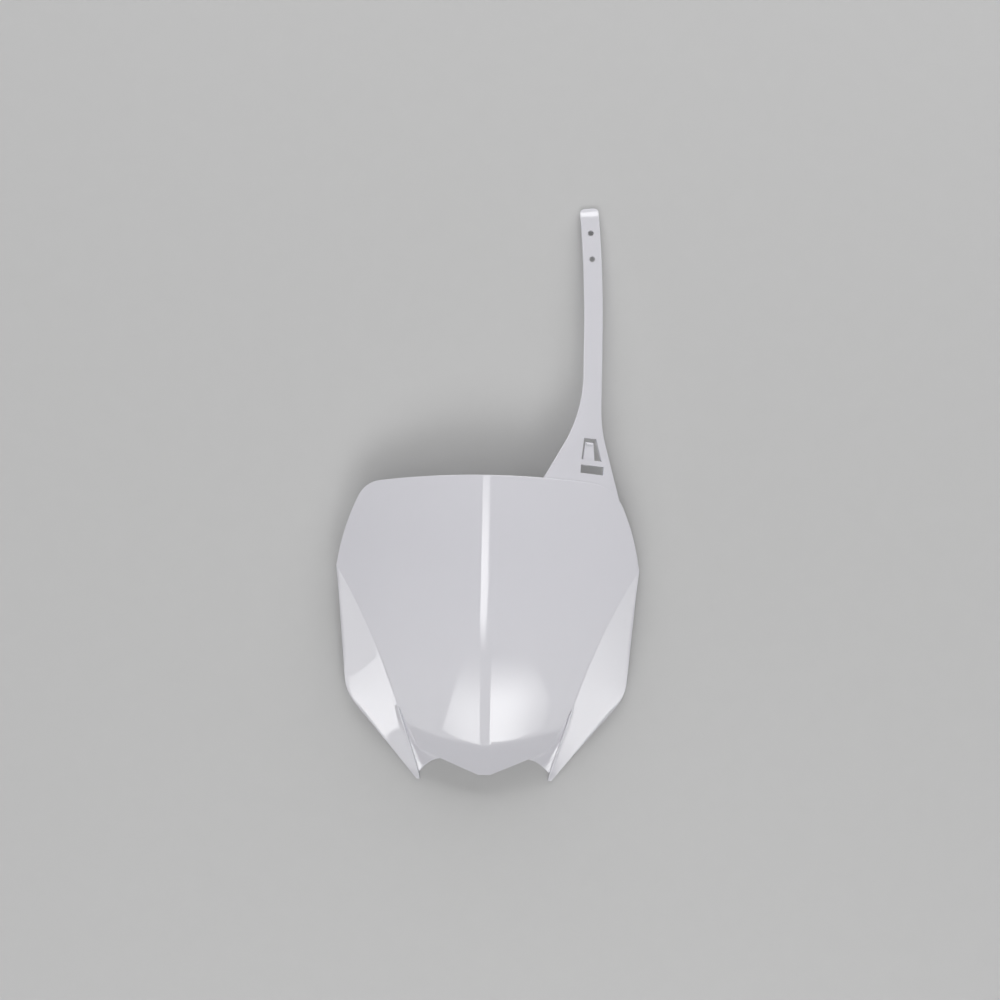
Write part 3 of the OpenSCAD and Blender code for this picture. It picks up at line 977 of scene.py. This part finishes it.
def add_lamps():
    add_panel("left_softbox", [
        (-0.06, -0.60, LAMP_H), (-0.41, -0.60, LAMP_H), (-0.51, -1.01, LAMP_H), (-0.87, -2.275, LAMP_H),
        (-0.65, -2.57, LAMP_H), (-0.43, -2.675, LAMP_H), (-0.06, -2.70, LAMP_H),
    ], 3.79, [("Y", -0.60, -1.7, 0.2), ("X", -1.1, -0.4, 0.5)])
    add_panel("right_softbox", [
        (0.06, -0.62, LAMP_H), (0.06, -2.65, LAMP_H), (0.40, -2.60, LAMP_H), (0.70, -2.543, LAMP_H),
        (1.06, -2.247, LAMP_H), (1.02, -1.51, LAMP_H), (0.72, -0.88, LAMP_H), (0.45, -0.68, LAMP_H),
    ], 4.90, [("Y", -0.60, -1.5, 0.1), ("X", 1.1, 0.42, 0.35)])
    add_panel("overhead_strip", [
        (-0.30, 1.1, OVERHEAD_H), (-0.002, 1.1, OVERHEAD_H), (-0.002, 0.10, OVERHEAD_H),
        (-0.010, -0.60, OVERHEAD_H), (-0.018, -1.06, OVERHEAD_H), (-0.30, -0.6, OVERHEAD_H),
    ], 4.01, [("Y", 1.1, 0.0, 0.2), ("Y", -1.05, -0.35, 0.25)])
    add_panel("back_softbox", card(
        [(124, 8), (62, 8), (62, 40), (124, 40)], BOARD_MIDDLE, 93, BACK_REACH), 3.40)
    add_panel("left_card", card([
        (-132.3, 0.5), (-132.3, 20), (-162.5, 20), (-160.9, 18.5), (-152.6, 11.8), (-140.5, 0.5),
    ], LEFT_WING, -148, CARD_REACH), 4.01, [("Y", -0.6, -1.2, 0.72)], gloss_only=True)
    add_panel("left_dim_card", card(
        [(-118, 0.5), (-118, 12), (-132.3, 12), (-132.3, 0.5)], LEFT_WING, -125, CARD_REACH), 1.2,
        gloss_only=True)
    add_panel("right_card", card(
        [(-56, 0.5), (-8, 0.5), (-8, 19), (-56, 19)], RIGHT_WING, -38, CARD_REACH), 3.33,
        [("X", 1.85, 1.20, 0.4), ("X", 0.95, 1.12, 0.25)], gloss_only=True)
    add_panel("left_lowwall", card(
        [(222, 1), (165, 1), (165, 11.5), (198, 20), (222, 20)], LEFT_SIDE, 193, SIDE_REACH), 1.8)
    add_panel("back_left_softbox", card(
        [(163, 8), (126, 8), (126, 38), (163, 38)], BOARD_MIDDLE, 145, BACK_REACH), 0.21)
    add_panel("back_right_softbox", card(
        [(60, 8), (24, 8), (24, 38), (60, 38)], BOARD_MIDDLE, 42, BACK_REACH), 2.29)


add_camera()
add_world()
add_floor()
add_lamps()

# The board

board = Board()
rest_z = min(
    (p - WALL * n)[2]
    for points, normals in zip(board.wing, board.wing_normals)
    for p, n in zip(points, normals)
)
strap = Strap(rest_z)
strap_rows = strap.grid()
center_y = (max(p[1] for p in strap_rows[0]) - TIP_DROP) / 2
floor_z = min(rest_z, min(
    (p - STRAP_WALL * grid_normal(strap_rows, 0, k))[2] for k, p in enumerate(strap_rows[0])
))


def place(p):
    """A point of the board's own frame, in metres in the part's frame."""
    return Vector((p[0], p[1] - center_y, p[2] - floor_z)) / 1000


plastic = white_moulding()
wall_tree = moulded_wall_tree(plastic)

shell = moulded_sheet(
    "shell", board.points(), board.normals(), board.patches(), board.rim(), WALL, RIM_ROUND,
    board.creases())
soften = shell.modifiers.new("creases", "BEVEL")
soften.limit_method = "WEIGHT"
soften.width = CREASE_ROUND / 1000
soften.segments = 3
soften.use_clamp_overlap = False
bake(shell)

web_rows = web_grid(board)
webs = [
    grid_sheet("web_right", web_rows, WEB_WALL, STRAP_ROUND),
    grid_sheet("web_left", [[flip(p, -1) for p in row[::-1]] for row in web_rows], WEB_WALL, STRAP_ROUND),
]
strap_sheet = grid_sheet("strap", strap_rows, STRAP_WALL, STRAP_ROUND)

INNER_X = -WINDOW_W / 2
WINDOW_TOP_Y = BAR_W / 2 + WINDOW_L
TONGUE_END_Y = WINDOW_TOP_Y - END_GAP
TONGUE_X = INNER_X + TONGUE_GAP
# Reach of the cutting tools past the strap, and how far the window's tool laps its neighbours
CUT = 6.0
SPARE = 0.02


def bar_matrix():
    """From the frame of the bar between slot and window to the part's frame."""
    p = vec(STRAP_X, BAR_Y, strap.z(STRAP_X, BAR_Y))
    n = face_normal(p[0], p[1])
    return (
        Matrix.Translation(place(p))
        @ Matrix.Rotation(math.atan2(n[0], n[2]), 4, "Y")
        @ Matrix.Rotation(-math.asin(n[1]), 4, "X")
        @ Matrix.Rotation(BAR_ANGLE, 4, "Z")
    )


def window_outline(spare=0.0):
    x0, y0, y1 = INNER_X - spare, BAR_W / 2 - spare, WINDOW_TOP_Y + spare
    return [
        (x0, y0), (x0 + WINDOW_W + 2 * spare, y0),
        (x0 + WINDOW_LEAN + WINDOW_TOP_W + 2 * spare, y1), (x0 + WINDOW_LEAN, y1),
    ]


def window_gap_outline():
    """The window less the tongue that stands in it on the bar."""
    window = window_outline(SPARE)
    base = window[0][1]
    share = base / TONGUE_END_Y
    left = TONGUE_X + share * WINDOW_LEAN
    right = TONGUE_X + TONGUE_W + share * (WINDOW_LEAN + TONGUE_TOP_W - TONGUE_W)
    return [
        window[0], (left, base), (TONGUE_X + WINDOW_LEAN, TONGUE_END_Y),
        (TONGUE_X + WINDOW_LEAN + TONGUE_TOP_W, TONGUE_END_Y), (right, base), *window[1:],
    ]


def slot_outline():
    x0, x1, y1 = SLOT_SHIFT - SLOT_L / 2, SLOT_SHIFT + SLOT_L / 2, -BAR_W / 2
    return [(x0, y1 - SLOT_W), (x1, y1 - SLOT_W), (x1, y1), (x0, y1)]


def strap_pegs():
    """The two pegs that cut the strap's holes."""
    pegs = bpy.data.objects.new("pegs", bpy.data.meshes.new("pegs"))
    scene.collection.objects.link(pegs)
    ends = [place(strap.point(STRAP_TOP - HOLE_END - d)) for d in (0, HOLE_PITCH)]
    return strap_pegs_tree(plastic).run(pegs, {
        "Count": 2, "Radius": HOLE_R / 1000, "Length": 2 * CUT / 1000, "Lean": -strap.slope,
        "First": ends[0], "Last": ends[1],
    })


def cut_fastening():
    """Cuts recess, window, slot and holes into the strap and lays the bead on its tongue."""
    bar = bar_matrix()
    carve(strap_sheet, prism("recess", window_outline(), -TONGUE_STEP, CUT, bar))
    carve(strap_sheet, prism("window", window_gap_outline(), -CUT, CUT, bar))
    carve(strap_sheet, prism("slot", slot_outline(), -CUT, CUT, bar))
    carve(strap_sheet, strap_pegs())
    turns = [math.pi * i / (BEAD_SIDES // 2) for i in range(BEAD_SIDES)]
    circle = [(BEAD_R * math.cos(a), BEAD_R * math.sin(a)) for a in turns]
    start = Vector((
        TONGUE_X + WINDOW_LEAN + BEAD_INSET, TONGUE_END_Y - BEAD_R - BEAD_INSET, -TONGUE_STEP))
    across = bar @ Matrix.Translation(start / 1000) @ Matrix.Rotation(math.pi / 2, 4, "Y")
    carve(strap_sheet, prism("bead", circle, 0, TONGUE_TOP_W - 2 * BEAD_INSET, across), "UNION")


def join(name, things):
    """One object out of several, with faces that point outwards."""
    data = bmesh.new()
    for thing in things:
        part = bmesh.new()
        part.from_mesh(thing.data)
        bmesh.ops.triangulate(part, faces=[f for f in part.faces if len(f.verts) > 4])
        bmesh.ops.recalc_face_normals(part, faces=part.faces)
        part.to_mesh(thing.data)
        part.free()
        data.from_mesh(thing.data)
        bpy.data.objects.remove(thing)
    mesh = bpy.data.meshes.new(name)
    data.to_mesh(mesh)
    data.free()
    for label in ("wall_line", "rim_inset", "edge_point", "bevel_weight_edge"):
        if label in mesh.attributes:
            mesh.attributes.remove(mesh.attributes[label])
    mesh.materials.append(plastic)
    mesh.shade_smooth()
    mesh.set_sharp_from_angle(angle=SHARP_ANGLE)
    made = bpy.data.objects.new(name, mesh)
    scene.collection.objects.link(made)
    return made


cut_fastening()
moulding = join("moulding", [shell, strap_sheet] + webs)
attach(moulding, "root")
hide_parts("number_board")

scene.view_settings.view_transform = "Standard"
